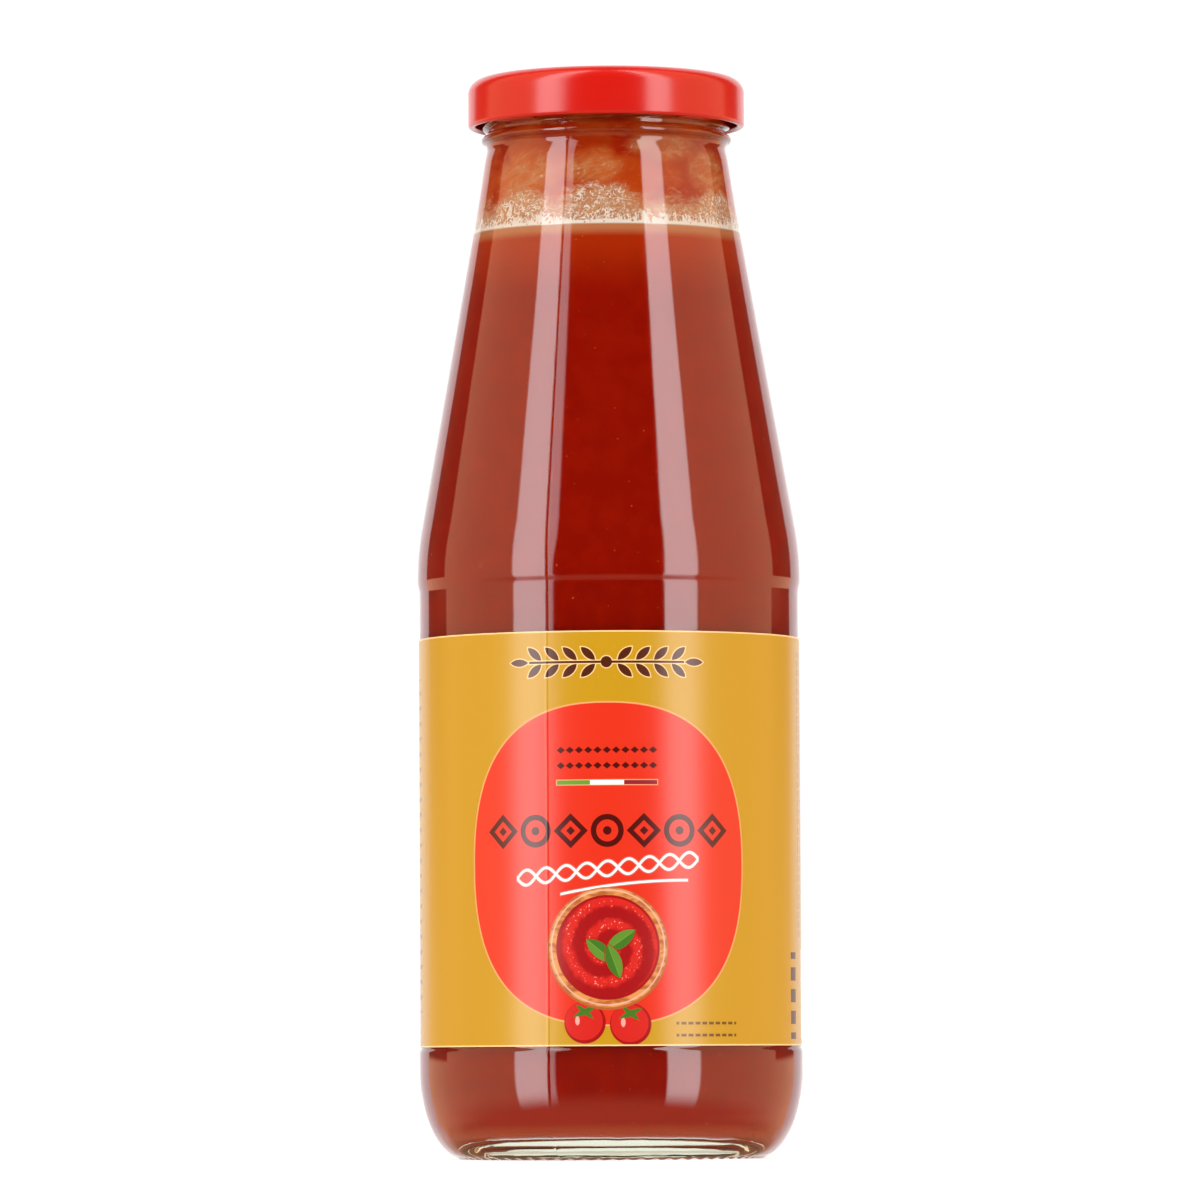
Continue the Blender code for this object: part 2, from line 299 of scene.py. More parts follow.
def makeWorld():
    world = bpy.data.worlds.new("studio")
    scene.world = world
    sky = Finish("studio", world)
    facing = sky.node("ShaderNodeTexCoord").outputs["Generated"]
    split = sky.node("ShaderNodeSeparateXYZ", None, {0: facing})
    x, y, z = [Wire(sky, out) for out in split.outputs]
    degrees = 180 / math.pi
    around = x.do("ARCTAN2", abs(x), -y) * degrees  # 0 towards the camera, 180 behind the bottle
    up = x.do("ARCTAN2", z, (x * x + y * y).root()) * degrees
    onRight = x.step(-0.001, 0.001)
    soft = studio["softEdge"]

    def band(start, end):
        return around.step(start - soft, start + soft) * around.step(end + soft, end - soft)

    left, right = studio["stripLeft"], studio["stripRight"]
    lean = up.step(*studio["leanFrom"]) * studio["stripLean"]
    foot = studio["stripFoot"]  # the inner edge of the left softbox is dimmer
    fade = around.step(*studio["stripFade"]) * (1 - foot) + foot
    strips = band(left[0] - lean, left[1]) * fade * (1 - onRight) + band(*right) * onRight
    panelEnd = studio["panelEnd"]
    panels = band(left[1], panelEnd) * (1 - onRight) + band(right[1], panelEnd) * onRight
    gap = band(panelEnd, studio["gapEnd"])
    raisedGap = up.step(*studio["gapFoot"])  # the panels reach under the gap
    back = around.step(studio["gapEnd"] - soft, studio["gapEnd"] + soft)
    front = around.step(left[0] + soft, left[0] - soft)
    stripTop, topSoft = studio["stripTop"], studio["topSoft"]
    backTop, backSoft = studio["backTop"], studio["backSoft"]
    sides = up.step(stripTop + topSoft, stripTop - topSoft)
    light = (
        strips * studio["stripLight"] * sides
        + back * studio["backLight"] * up.step(backTop + backSoft, backTop - backSoft)
        + front * studio["frontLight"]
        + up.step(backTop, backTop + backSoft) * studio["topLight"]
    )
    lowEdge, lowSoft = studio["lowEdge"], studio["lowSoft"]
    raised = up.step(lowEdge - lowSoft, lowEdge + lowSoft)
    warmPanels = (panels + gap * (1 - raisedGap)) * sides * studio["panelLight"]
    warmPanels = warmPanels + gap * raisedGap * studio["gapLight"]
    seen = Wire(sky, sky.node("ShaderNodeLightPath").outputs["Is Camera Ray"])
    unseen = 1 - seen
    strength = light * raised * unseen + seen * studio["backdrop"]
    slots = {"Color": (1.0, 1.0, 1.0), "Strength": strength}
    white = sky.node("ShaderNodeBackground", None, slots).outputs[0]
    strength = (warmPanels * raised + (1 - raised) * studio["lowLight"]) * unseen
    slots = {"Color": studio["warmColour"], "Strength": strength}
    warm = sky.node("ShaderNodeBackground", None, slots).outputs[0]
    both = sky.node("ShaderNodeAddShader", None, {0: white, 1: warm}).outputs[0]
    sky.node("ShaderNodeOutputWorld", None, {"Surface": both})


def makeFloor():
    paint = Finish("paleFloor")
    seen = Wire(paint, paint.node("ShaderNodeLightPath").outputs["Is Camera Ray"])
    slots = {
        "Base Color": studio["floorColour"], "Roughness": 0.9, "Specular IOR Level": 0.0,
        "Emission Color": (1.0, 1.0, 1.0),
        "Emission Strength": seen * studio["floorLift"] + studio["floorGlow"],
    }
    material = paint.end(paint.surface(slots))
    data = bmesh.new()
    bmesh.ops.create_circle(data, cap_ends=True, segments=64, radius=studio["floorSize"] / 2)
    mesh = bpy.data.meshes.new("floor")
    data.to_mesh(mesh)
    data.free()
    mesh.materials.append(material)
    floor = bpy.data.objects.new("floor", mesh)
    floor.visible_glossy = False  # the softboxes reach down past the small table in the mirror image
    scene.collection.objects.link(floor)


makeWorld()
makeFloor()
scene.view_settings.view_transform = "Standard"
print("camera and studio ready")


# Bottle, in millimetres

bottle = {
    "panelRadius": 38.80, "heelRing": 39.15, "shoulderRing": 39.20,
    "bearingInner": 27.8, "bearingOuter": 30.8, "bearingRound": 0.6,
    "puntHeight": 3.6, "puntEdge": 1.2, "puntInset": 2.2,
    "heelHeight": 18.4, "heelDepth": 9.1, "heelRingTop": 21.8,
    "panelBottom": 22.8, "panelTop": 115.6, "shoulderRingBottom": 118.0, "shoulderBend": 60.0,
    "coneLow": (37.90, 131.0), "coneHigh": (25.05, 203.0),
    "neckRadius": 24.60, "neckLow": 205.6, "neckLine": 206.5, "neckBend": 9.0, "neckStep": 0.07,
    "beadRadius": 25.70, "beadBottom": 208.0, "beadTop": 209.6, "beadRound": (0.9, 0.8),
    "finishRadius": 24.40, "rimTop": 220.6, "rimRound": 1.1, "boreRadius": 22.0,
    "wall": 2.5, "slantWall": 2.55,  # the second is the shoulder's wall, measured level
    "floorEdge": 5.7, "floorCentre": 8.4, "floorRadius": 28.0, "footHeight": 18.5,
    "steps": 396,  # six for each knurl
    "seamTurn": -19.0, "seamWidth": 0.24, "seamHeight": 0.06,
    "rampStart": -125.0, "rampSweep": 88.0, "rampReach": 1.0, "rampHalf": 0.55,
    "rampLow": 210.9, "rampRise": 2.8, "rampRow": 0.17,
    "knurls": 66, "knurlDepth": 0.3,
    "tint": (0.52, 0.64, 0.28), "absorb": 8.5, "index": 1.52,
}
coneLow = point(*bottle["coneLow"])
coneHigh = point(*bottle["coneHigh"])
slope = (coneHigh.x - coneLow.x) / (coneHigh.y - coneLow.y)


def coneHeight(radius):
    return coneLow.y + (radius * mm - coneLow.x) / slope


def coneRadius(height):
    return (coneLow.x + (height * mm - coneLow.y) * slope) / mm


def wallRadius(height):
    # inner radius of the sloping shoulder
    return coneRadius(height) - bottle["slantWall"]


def bottomOutline():
    # punt, bearing ring with its knurls' tops, and the round heel
    b = bottle
    lift, corner = b["knurlDepth"], b["bearingRound"]
    dome = b["puntHeight"] - b["puntEdge"] - lift
    line = arc(point(0, b["puntEdge"] + lift), b["bearingInner"] - b["puntInset"], dome, 90, 4, 14)
    line += arc(point(b["bearingInner"] + corner, lift + corner), corner, corner, 190, 260, 4)
    bearing = b["bearingOuter"] - b["bearingInner"] - 0.8
    line += [point(b["bearingInner"] + 0.8 + bearing * i / 5, lift) for i in range(6)]
    heelCentre = point(b["heelRing"] - b["heelDepth"], b["heelHeight"])
    line += arc(heelCentre, b["heelDepth"], b["heelHeight"] - lift * 0.5, -78, 0, 26)
    return line


def panelOutline():
    # the sunk label panel eases into a contact ring at each end
    b = bottle
    line = ease(point(b["heelRing"], b["heelRingTop"]), point(b["panelRadius"], b["panelBottom"]), 7)
    line += [point(b["panelRadius"], height) for height in (60.0, 90.0)]
    low, high = point(b["panelRadius"], b["panelTop"]), point(b["shoulderRing"], b["shoulderRingBottom"])
    return line + ease(low, high, 8)


def mouthOutline():
    # neck line, bead, the part that takes the thread ramps, and the rounded rim
    b = bottle
    top = coneHigh + Vector((0.0, 1.2 * mm))
    line = bend(top, coneLow, point(b["neckRadius"], b["neckLow"] + 1.0), b["neckBend"], 5)
    step = b["neckRadius"] - b["neckStep"]
    line += [point(b["neckRadius"], b["neckLine"] - 0.15), point(step, b["neckLine"])]
    line += [point(step, b["beadBottom"] - 0.7), point(b["neckRadius"] + 0.12, b["beadBottom"] - 0.3)]
    middle = (b["beadBottom"] + b["beadTop"]) / 2
    across, up = b["beadRound"]
    line += arc(point(b["beadRadius"] - across, middle), across, up, -80, 80, 10)
    low, high = b["rampLow"] - b["rampHalf"] - 0.1, b["rampLow"] + b["rampRise"] + b["rampHalf"] + 0.1
    rows = round((high - low) / b["rampRow"])
    line += [point(b["finishRadius"] + 0.15, b["beadTop"] + 0.15)]
    line += [point(b["finishRadius"], low + (high - low) * i / rows) for i in range(rows + 1)]
    half, rim = (b["finishRadius"] - b["boreRadius"]) / 2, b["rimRound"]
    return line + arc(point(b["boreRadius"] + half, b["rimTop"] - rim), half, rim, 0, 180, 12)


def outerOutline():
    b = bottle
    corner = Vector((b["shoulderRing"] * mm, coneHeight(b["shoulderRing"])))
    line = bottomOutline() + panelOutline()
    line += bend(corner, point(b["shoulderRing"], b["panelTop"]), coneHigh, b["shoulderBend"], 12)
    line += [coneLow.lerp(coneHigh, share) for share in (0.3, 0.6, 0.9)]
    return line + mouthOutline()


def wallOutline(grow):
    # inner wall of the mouth and neck, down to the start of the shoulder
    b = bottle
    slant = b["slantWall"] - grow
    bore = b["boreRadius"] + grow
    line = [point(bore, b["rimTop"] - b["rimRound"]), point(bore, b["neckLow"] + 1.5)]
    return line + [point(coneHigh.x / mm - slant, coneHigh.y / mm)]


def bodyOutline(grow):
    # inner wall from the shoulder down to the axis; a positive grow reaches into the glass
    b = bottle
    body = b["panelRadius"] - b["wall"] + grow
    slant = b["slantWall"] - grow
    corner = Vector((body * mm, coneHeight(body + slant)))
    high = point(coneHigh.x / mm - slant, coneHigh.y / mm)
    line = bend(corner, high, point(body, b["panelBottom"]), b["shoulderBend"], 12)
    centre = point(b["floorRadius"], b["footHeight"])
    across, up = body - b["floorRadius"], b["footHeight"] - b["floorEdge"] + grow
    line += [point(body, 70.0)]
    line += arc(centre, across, up, 0, -90, 22)
    dome = b["floorCentre"] - b["floorEdge"]
    line += arc(point(0, b["floorEdge"] - grow), b["floorRadius"], dome, 24, 90, 12)
    line[-1].x = 0.0
    return line


def glassFinish():
    glass = Finish("clearGlass")
    z = glass.place()[2]
    wavy = glass.noise(0.035, 2.0, stretch=(1.0, 1.0, 0.5))
    wavy = wavy + glass.noise(0.09, 2.0, shift=4.0) * z.step(9.5, 6.0) * 3.0  # the thick base is less even
    slots = {
        "Base Color": (1.0, 1.0, 1.0), "Roughness": 0.0, "IOR": bottle["index"],
        "Transmission Weight": 1.0, "Normal": glass.bump(wavy, 0.10),
    }
    slot = {"Color": bottle["tint"], "Density": bottle["absorb"]}
    green = glass.node("ShaderNodeVolumeAbsorption", None, slot).outputs[0]
    return glass.end(glass.surface(slots), green)


def cutSeams(data):
    # edges along the mould seam, so that its ridge has a sharp outline
    width = math.degrees(bottle["seamWidth"] / bottle["panelRadius"])
    for offset in (-1.0, -0.45, 0.0, 0.45, 1.0):
        turn = math.radians(bottle["seamTurn"] - 90 + offset * width)
        across = (-math.sin(turn), math.cos(turn), 0.0)
        everything = data.verts[:] + data.edges[:] + data.faces[:]
        bmesh.ops.bisect_plane(data, geom=everything, dist=1e-7, plane_co=(0, 0, 0), plane_no=across)


def seamLift(angle, radius):
    off = (angle - bottle["seamTurn"] + 90 + 90) % 180 - 90
    across = abs(math.radians(off) * radius) / bottle["seamWidth"]
    return bottle["seamHeight"] * max(0.0, 1 - across)


def rampLift(angle, height):
    b = bottle
    along = ((angle - b["rampStart"]) % 90) / b["rampSweep"]
    if along > 1:
        return 0.0
    off = (height - b["rampLow"] - b["rampRise"] * along ** 2) / b["rampHalf"]
    ends = min(1.0, along / 0.05, (1 - along) / 0.05)
    return b["rampReach"] * ends * math.sqrt(max(0.0, 1 - off * off))


def knurlDrop(angle, radius):
    slant = math.degrees((radius - bottle["bearingInner"]) / radius)
    return bottle["knurlDepth"] * (0.5 + 0.5 * math.cos(math.radians((angle + slant) * bottle["knurls"])))


def addRelief(data):
    # seam, thread ramps and bearing knurls, all moved out of the turned surface
    b = bottle
    data.normal_update()
    moves = []
    for vert in data.verts:
        flat = Vector((vert.co.x, vert.co.y, 0.0))
        radius, height = flat.length / mm, vert.co.z / mm
        if radius < b["bearingInner"] * 0.75:
            continue
        angle = math.degrees(math.atan2(vert.co.y, vert.co.x))
        onRing = b["bearingInner"] + 0.7 < radius < b["bearingOuter"] + 0.1
        if onRing and abs(height - b["knurlDepth"]) < 0.05:
            moves.append((vert, Vector((0.0, 0.0, -knurlDrop(angle, radius)))))
        elif vert.normal.dot(flat) > 0 and height > 0.4:
            lift = seamLift(angle, radius)
            if height > b["beadTop"] + 0.3 and radius > b["finishRadius"] - 0.1:
                lift = max(lift, rampLift(angle, height))
            moves.append((vert, flat.normalized() * lift))
    for vert, move in moves:
        vert.co += move * mm


def makeBottle(material):
    data = bmesh.new()
    outline = outerOutline() + wallOutline(0.0)[1:] + bodyOutline(0.0)
    outline[0].x = 0.0
    turnOutline(data, outline, bottle["steps"])
    cutSeams(data)
    addRelief(data)
    return finishPiece("bottle", data, material, ["glass_bottle"], sharp=60)


makeBottle(glassFinish())


# Passata: one body of sauce up to the fill line

sauce = {
    "fill": 188.95, "edgeRound": 1.2, "edgeLift": 0.7, "intoWall": 0.12, "steps": 192,
    "colour": (0.325, 0.0056, 0.0), "pulp": (0.36, 0.0080, 0.0), "foot": (0.41, 0.0085, 0.0),
    # painted light: this colour and foot above make the sauce brighter near the base, standing in for the
    # floor's glow coming up through the glass
    "floorLitBottom": (0.52, 0.060, 0.014),
    "nearTop": (0.48, 0.032, 0.002), "rim": (0.62, 0.27, 0.11),
    "speck": (0.75, 0.25, 0.08),
    "wetIndex": 0.89,  # sauce against glass
}


def sauceFinish():
    wet = Finish("tomatoPassata")
    z = wet.place()[2]
    fill = sauce["fill"]
    pulp = wet.noise(0.22, 4.0)
    colour = wet.mix(pulp.step(0.35, 0.7), sauce["colour"], sauce["pulp"])
    # painted light: the sauce is drawn brighter towards the bottom and orange at the very bottom, for the
    # floor's glow through the base
    colour = wet.mix(z.step(14.0, 8.5), colour, sauce["foot"])
    colour = wet.mix(z.step(8.2, 6.4), colour, sauce["floorLitBottom"])
    colour = wet.mix(z.step(fill - 15, fill - 1.0), colour, sauce["nearTop"])
    colour = wet.mix(z.step(fill - 2.6, fill - 0.3) * 0.8, colour, sauce["rim"])
    specks = wet.noise(1.3, 1.0).step(0.775, 0.80)
    colour = wet.mix(specks * 0.7, colour, sauce["speck"])
    body = wet.surface({"Base Color": colour, "Roughness": 0.5, "Specular IOR Level": 0.0})
    mirror = wet.surface({"Base Color": (1.0, 1.0, 1.0), "Metallic": 1.0, "Roughness": 0.02})
    skim = wet.node("ShaderNodeFresnel", None, {"IOR": sauce["wetIndex"]}).outputs[0]
    return wet.end(wet.node("ShaderNodeMixShader", None, {0: skim, 1: body, 2: mirror}).outputs[0])


def makePassata(material):
    data = bmesh.new()
    fill, edge = sauce["fill"], sauce["edgeRound"]
    top = wallRadius(fill) + sauce["intoWall"]
    surface = [point(top * share, fill) for share in (0.0, 0.5, 0.9)]
    surface += arc(point(top - edge, fill + sauce["edgeLift"]), edge, edge, -90, -20, 6)
    turnOutline(data, surface + bodyOutline(sauce["intoWall"]), sauce["steps"])
    return finishPiece("passataFill", data, material, ["passata"], sharp=60)


makePassata(sauceFinish())


# Thin coat of sauce and froth that clings to the neck above the fill line

film = {
    "top": 219.2, "outward": 0.10, "thick": 0.35, "steps": 192,
    "deep": (0.47, 0.022, 0.001), "warm": (0.66, 0.105, 0.010), "pale": (0.64, 0.31, 0.12),
    "cream": (0.97, 0.93, 0.84), "froth": (0.68, 0.38, 0.18), "shade": (0.36, 0.14, 0.04),
    "frothHeight": 6.5, "bandHeight": 0.9, "peakHeight": 2.6,
    "hills": [(-2.0, 6.0, 9.0, 5.5), (-19.0, 4.0, 9.0, 6.0), (27.0, 4.0, 8.0, 6.0), (50.0, 5.0, 14.0, 5.0),
              (-50.0, 5.0, 14.0, 5.5)],
    "smears": [(-3.0, 12.0, 8.0, 4.5), (13.0, 16.5, 10.0, 4.0), (25.0, 11.5, 8.0, 6.0),
               (-18.0, 10.5, 10.0, 6.5), (-44.0, 13.0, 14.0, 6.0), (52.0, 13.0, 14.0, 6.0)],
    "bubbles": 300, "bubbleSize": 0.28, "bubbleVary": 0.34, "bubbleShrink": 0.4, "bubbleSink": 0.62,
}


def spread(around, above, spots):
    # 1 in the middle of each spot, fading out to its edge; spots are (along, height, width, height) in mm
    share = 0.0
    for along, height, width, tall in spots:
        off = ((around - along) / width) ** 2 + ((above - height) / tall) ** 2
        share = off.step(1.0, 0.0) + share
    return share


def filmFinish():
    coat = Finish("clingingSauce")
    x, y, z = coat.place()
    above = z - sauce["fill"]
    around = x.do("ARCTAN2", x, -y) * bottle["neckRadius"]
    hills, smears = spread(around, above, film["hills"]), spread(around, above, film["smears"])
    cloud = coat.noise(0.085, 2.0, stretch=(1.0, 1.0, 1.5), warp=0.6)
    wisp = coat.noise(0.28, 4.0, stretch=(1.0, 1.0, 2.4), rough=0.65, warp=0.9, shift=3.0)
    slanting = coat.vector(x, y, z * 2.0 - x * 0.6)
    streaks = coat.noise(0.24, 5.0, rough=0.7, warp=0.7, shift=9.0, where=slanting)
    fine = coat.noise(1.5, 2.0, stretch=(1.0, 1.0, 0.8), rough=0.7)
    colour = coat.mix(cloud.step(0.38, 0.60) * 0.6 + smears * 0.5, film["deep"], film["warm"])
    haze = (smears * 0.8 + wisp.step(0.50, 0.80) * 0.35).clamp()
    colour = coat.mix(haze * (streaks.step(0.38, 0.66) * 0.75 + 0.2), colour, film["pale"])
    colour = coat.mix(haze * fine.step(0.60, 0.72) * streaks.step(0.45, 0.65) * 0.6, colour, film["cream"])
    # froth: curling pale lines, thinning out upwards
    rough = (wisp - 0.5) * 1.8 + (streaks - 0.5) * 0.9
    reach = (above / film["frothHeight"] + rough - hills * 0.6).step(1.15, 0.35)
    curls = abs(coat.noise(0.32, 3.0, warp=2.4, shift=5.0) - 0.5)
    dense = reach * (hills * 0.8 + above.step(4.5, 1.0) + 0.15).clamp()
    colour = coat.mix(reach * (streaks * 0.9 + 0.35).clamp(), colour, film["froth"])
    outlines = curls.step(0.022, 0.034) * curls.step(0.064, 0.048) * 0.6
    colour = coat.mix(dense * outlines, colour, film["shade"])
    lines = (curls.step(0.030, 0.012) + fine.step(0.54, 0.64) * 0.8).clamp()
    colour = coat.mix(dense * lines, colour, film["cream"])
    # cream band along the fill line, with peaks where it has run down
    peaks = coat.noise(1.15, 3.0, stretch=(1.0, 1.0, 0.32), rough=0.75, warp=0.7, shift=7.0)
    edge = film["bandHeight"] + peaks.step(0.42, 0.70) * cloud.step(0.25, 0.60) * film["peakHeight"]
    band = above - edge
    colour = coat.mix(band.step(0.50, 0.20) * band.step(0.0, 0.20) * 0.5, colour, film["shade"])
    colour = coat.mix(band.step(0.16, -0.08) * (0.75 + fine * 0.5).clamp(), colour, film["cream"])
    colour = coat.mix(above.step(0.40, 0.22) * 0.6, colour, film["shade"])
    return coat.end(coat.surface({"Base Color": colour, "Roughness": 0.5, "Specular IOR Level": 0.0}))


def makeFilm(material):
    data = bmesh.new()
    out, low = film["outward"], sauce["fill"] + 0.1
    foot = wallRadius(low)
    line = wallOutline(out) + [point(foot + out, low), point(foot - film["thick"], low)]
    line += reversed(wallOutline(-film["thick"]))
    line[0].y = line[-1].y = film["top"] * mm
    turnOutline(data, line, film["steps"], closed=True)
    return finishPiece("neckFilm", data, material, sharp=60)


def frothFinish():
    foam = Finish("creamFroth")
    tone = foam.mix(foam.noise(1.2, 1.0).step(0.35, 0.65), film["cream"], film["pale"])
    return foam.end(foam.surface({"Base Color": tone, "Roughness": 0.35, "Specular IOR Level": 0.3}))


def makeFroth(material):
    # bubbles pressed against the glass, biggest at the fill line
    data = bmesh.new()
    draw = random.Random(7)
    for _ in range(film["bubbles"]):
        angle = draw.uniform(0, math.tau)
        rise = draw.random() ** 2.2
        size = (film["bubbleSize"] + film["bubbleVary"] * draw.random()) * (1 - film["bubbleShrink"] * rise)
        height = sauce["fill"] + size + rise * film["frothHeight"] * 0.8
        centre = point3(wallRadius(height) - size * film["bubbleSink"], height)
        place = Matrix.Rotation(angle, 4, "Z") @ Matrix.Translation(centre)
        bmesh.ops.create_uvsphere(data, u_segments=8, v_segments=5, radius=size * mm, matrix=place)
    return finishPiece("froth", data, material, sharp=80)


makeFilm(filmFinish())
makeFroth(frothFinish())


# Lid: pressed steel with a rolled curl, four lugs and a stepped top

lid = {
    "radius": 28.35, "top": 221.5, "sheet": 0.5, "cornerWidth": 3.5, "cornerHeight": 3.1,
    "panelRadius": 20.8, "panelDrop": 0.55, "buttonRadius": 9.0, "buttonDrop": 0.35,
    "curl": 0.75, "curlHeight": 212.15, "steps": 256,
    "lugStart": -55.0, "lugSweep": 20.0, "lugInner": 24.9, "lugTop": 211.8, "lugSheet": 0.4,
    "colour": (0.50, 0.0085, 0.0042), "speck": (0.46, 0.0075, 0.0038),
}


def lidFinish():
    lacquer = Finish("redLacquer")
    grain = lacquer.noise(3.0, 2.0)
    slots = {
        "Base Color": lacquer.mix(lacquer.noise(0.15, 2.0), lid["colour"], lid["speck"]),
        "Roughness": 0.20, "Specular IOR Level": 0.42,
        "Normal": lacquer.bump(grain, 0.004),
    }
    return lacquer.end(lacquer.surface(slots))


def lidOutline():
    n = lid
    panel, sheet = n["top"] - n["panelDrop"], n["sheet"]
    button = panel - n["buttonDrop"]
    across, up = n["cornerWidth"], n["cornerHeight"]
    corner = point(n["radius"] - across, n["top"] - up)
    line = [point(0, button), point(n["buttonRadius"] - 1.0, button)]
    line += ease(point(n["buttonRadius"], button), point(n["buttonRadius"] + 1.6, panel), 5, True)
    line += [point(n["panelRadius"] - 1.0, panel)]
    line += ease(point(n["panelRadius"], panel), point(n["panelRadius"] + 1.2, n["top"]), 6, True)
    line += arc(corner, across, up, 90, 0, 14)
    roll = point(n["radius"] - n["curl"], n["curlHeight"])
    line += arc(roll, n["curl"], n["curl"], 0, -225, 20)
    line += [point(n["radius"] - sheet, n["curlHeight"] + 1.6)]
    line += arc(corner, across - sheet, up - sheet, 0, 90, 8)
    edge, middle = n["panelRadius"], n["buttonRadius"]
    line += ease(point(edge + 1.2, n["top"] - sheet), point(edge, panel - sheet), 4, True)
    line += ease(point(middle + 1.6, panel - sheet), point(middle, button - sheet), 4, True)
    return line + [point(0, button - sheet)]


def addLugs(data):
    # each lug is a tongue of the curl bent in under the glass thread
    n = lid
    low, high, outer = n["lugTop"] - n["lugSheet"], n["lugTop"], n["radius"] - n["curl"]
    for turn in range(4):
        start = Matrix.Rotation(math.radians(n["lugStart"] + 90 * turn), 3, "Z")
        corners = [(outer, low), (outer, high), (n["lugInner"], high), (n["lugInner"], low)]
        sweepFace(data, [start @ point3(*corner) for corner in corners], n["lugSweep"], 8)


def makeLid(material):
    data = bmesh.new()
    outline = lidOutline()
    turnOutline(data, outline, lid["steps"])
    addLugs(data)
    return finishPiece("twistLid", data, material, ["lid"], sharp=50)


makeLid(lidFinish())


# Label: coated paper, lapped at the back, printed in flat colours

label = {
    "radius": 38.95, "paper": 0.10, "bottom": 22.9, "top": 106.1, "steps": 240,
    "lapSweep": 14.0, "lapRise": 0.12, "lapRamp": 8.0,
    "printShift": 0.6, "creaseAt": -12.3, "creaseWidth": 0.5,  # the paper lies over the mould seam
}
ink = {
    "yellow": (0.458, 0.247, 0.005), "red": (0.61, 0.023, 0.005), "outline": (0.80, 0.32, 0.12),
    "brown": (0.070, 0.012, 0.002), "maroon": (0.065, 0.002, 0.0), "paper": (0.80, 0.74, 0.60),
    "green": (0.11, 0.27, 0.018), "white": (0.86, 0.86, 0.84), "darkRed": (0.24, 0.010, 0.018),
    "wood": (0.60, 0.25, 0.07), "woodDark": (0.36, 0.10, 0.02), "grey": (0.45, 0.30, 0.28),
    "sauceLight": (0.55, 0.014, 0.008), "sauceDark": (0.30, 0.002, 0.003), "shine": (0.86, 0.45, 0.38),
    "leaf": (0.045, 0.15, 0.012), "leafLight": (0.13, 0.28, 0.03), "edge": (0.82, 0.55, 0.25),
}


def discGap(u, v, radius):
    # distance outside a shape, negative inside; all of the next ones too
    return (u * u + v * v).root() - radius


def boxGap(u, v, halfWidth, halfHeight):
    return (abs(u) - halfWidth).larger(abs(v) - halfHeight)


def ovalGap(u, v, halfWidth, halfHeight, power=2.0):
    size = ((abs(u) / halfWidth) ** power + (abs(v) / halfHeight) ** power) ** (1 / power)
    return (size - 1) * min(halfWidth, halfHeight)


def leafGap(u, v, halfLength, halfWidth):
    # the lens where two circles overlap
    radius = (halfLength ** 2 + halfWidth ** 2) / (2 * halfWidth)
    return discGap(u, abs(v) + (radius - halfWidth), radius)


def diamondGap(u, v, reach):
    return (abs(u) + abs(v) - reach) * 0.707


def lineGap(gap, width):
    return abs(gap) - width / 2


def turned(u, v, degrees):
    cosine, sine = math.cos(math.radians(degrees)), math.sin(math.radians(degrees))
    return u * cosine + v * sine, v * cosine - u * sine


class Sheet:
    # the print: u runs round the bottle and v up it, both in millimetres
    def __init__(self, finish):
        self.finish = finish
        x, y, z = finish.place()
        self.u = x.do("ARCTAN2", x, -y) * label["radius"] + label["printShift"]
        self.v = z
        self.colour = ink["yellow"]

    def paint(self, gap, colour, margin=0.0, strength=1.0):
        mask = (gap - margin).step(0.05, -0.05) * strength
        self.colour = self.finish.mix(mask, self.colour, ink[colour] if isinstance(colour, str) else colour)


# Sizes of the print in millimetres; heights are above the bottle's base, pairs are along and up
design = {
    "fieldHeight": 59.4, "fieldHalf": (29.6, 32.2), "fieldPower": 2.35,
    "sprigHeight": 99.8, "sprigPitch": 3.7, "sprigPairs": 4, "leafAside": 1.70, "leafTilt": 42,
    "leafHalf": (1.95, 0.80), "tipAt": 18.2, "tipHalf": (2.0, 0.75),
    "stemHalf": (16.0, 0.24), "berry": 1.15,
    "lozengeHeight": 80.6, "lozengePitch": 1.87, "lozengeAside": 1.55, "lozengeReach": 0.68, "lozenges": 11,
    "barHeight": 75.65, "barHalf": (10.2, 0.45), "barThird": 3.4,
    "rowHeight": 66.0, "rowPitch": 7.4, "ringRadius": 2.75, "ringLine": 1.1, "ringDot": 0.85,
    "gemReach": 2.8, "gemLine": 1.0, "gemDot": 0.9, "rowCount": 7,
    "braidHeight": 58.4, "braidHalf": 18.9, "braidWaves": 9, "braidSwing": 1.5, "braidClimb": 0.10,
    "strokeDrop": 3.4, "strokeHalf": 13.0, "strokeMiddle": 3.5,
    "bowlHeight": 42.6, "bowlRadius": 12.0, "bowlLip": 11.5, "bowlInside": 10.5, "pureeRadius": 10.0,
    "tomatoes": ((-4.7, -15.0), (4.5, -15.4)), "tomatoRadius": 4.2,
    "basil": ((2.6, 1.4, 35), (-1.6, -0.6, 140), (1.2, -2.8, -70)), "basilHalf": (3.6, 1.5),
    "panelAt": (76.0, 33.4), "panelHalf": (18.0, 9.1), "tableAt": (84.0, 74.0), "tableHalf": (22.0, 27.0),
    "tableRow": 4.5, "markAt": (49.6, 33.0), "markHalf": (1.7, 1.35), "markPitch": 4.4,
}


def printField(sheet):
    d = design
    oval = ovalGap(sheet.u, sheet.v - d["fieldHeight"], *d["fieldHalf"], d["fieldPower"])
    sheet.paint(oval, "outline", 0.28)
    sheet.paint(oval, "red")


